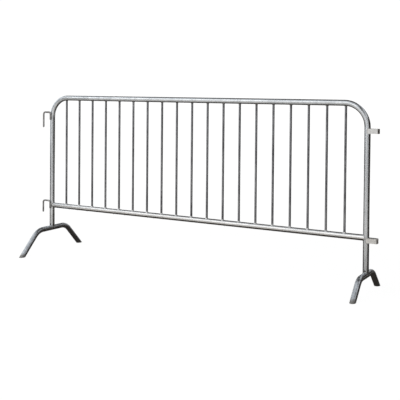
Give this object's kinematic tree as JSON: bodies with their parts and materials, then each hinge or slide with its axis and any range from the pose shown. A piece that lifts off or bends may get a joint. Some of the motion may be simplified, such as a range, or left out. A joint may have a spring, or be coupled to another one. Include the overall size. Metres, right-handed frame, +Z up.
{
  "type": "crowd control barrier",
  "caption": "Galvanised steel tube barrier panel with upright bars, hooks and loops for linking in a row, on two bridge feet that swivel.",
  "frame": {"origin": "on the ground, midway between the two posts, in the panel's middle plane", "axes": "+X along the panel from the hook end to the loop end, +Y from the panel's front to its back, +Z up"},
  "size_m": [2.436, 0.6634, 1.1],
  "materials": {
    "galvanised_frame": "hot-dip galvanised tube, satin, faint spangle and matt patches",
    "galvanised_bars": "hot-dip galvanised thin tube, duller than the frame",
    "galvanised_hooks": "hot-dip galvanised rod, rubbed dull",
    "galvanised_loops": "hot-dip galvanised flat strap",
    "galvanised_feet": "hot-dip galvanised tube, scuffed and stained near the ground",
    "plated_spigot": "zinc coated tube, dark where it turns",
    "black_screw": "black oxide steel"
  },
  "bodies": {
    "frame": {"outer_frame": "galvanised_frame", "bottom_rail": "galvanised_frame", "infill_bar_01": "galvanised_bars", "infill_bar_02": "galvanised_bars", "infill_bar_03": "galvanised_bars", "infill_bar_04": "galvanised_bars", "infill_bar_05": "galvanised_bars", "infill_bar_06": "galvanised_bars", "infill_bar_07": "galvanised_bars", "infill_bar_08": "galvanised_bars", "infill_bar_09": "galvanised_bars", "infill_bar_10": "galvanised_bars", "infill_bar_11": "galvanised_bars", "infill_bar_12": "galvanised_bars", "infill_bar_13": "galvanised_bars", "infill_bar_14": "galvanised_bars", "infill_bar_15": "galvanised_bars", "infill_bar_16": "galvanised_bars", "infill_bar_17": "galvanised_bars", "infill_bar_18": "galvanised_bars", "infill_bar_19": "galvanised_bars", "upper_hook": "galvanised_hooks", "lower_hook": "galvanised_hooks", "upper_loop": "galvanised_loops", "lower_loop": "galvanised_loops", "left_retaining_screw": "black_screw", "right_retaining_screw": "black_screw"},
    "left_foot": {"left_foot_tube": "galvanised_feet", "left_foot_collar": "galvanised_feet", "left_foot_spigot": "plated_spigot"},
    "right_foot": {"right_foot_tube": "galvanised_feet", "right_foot_collar": "galvanised_feet", "right_foot_spigot": "plated_spigot"}
  },
  "joints": [
    {"name": "left_foot_swivel", "type": "hinge", "parent": "frame", "child": "left_foot", "pos_m": [-1.15, 0, 0.158], "axis": [0, 0, 1], "range_deg": [-90, 90]},
    {"name": "right_foot_swivel", "type": "hinge", "parent": "frame", "child": "right_foot", "pos_m": [1.15, 0, 0.106], "axis": [0, 0, 1], "range_deg": [-90, 90]}
  ]
}
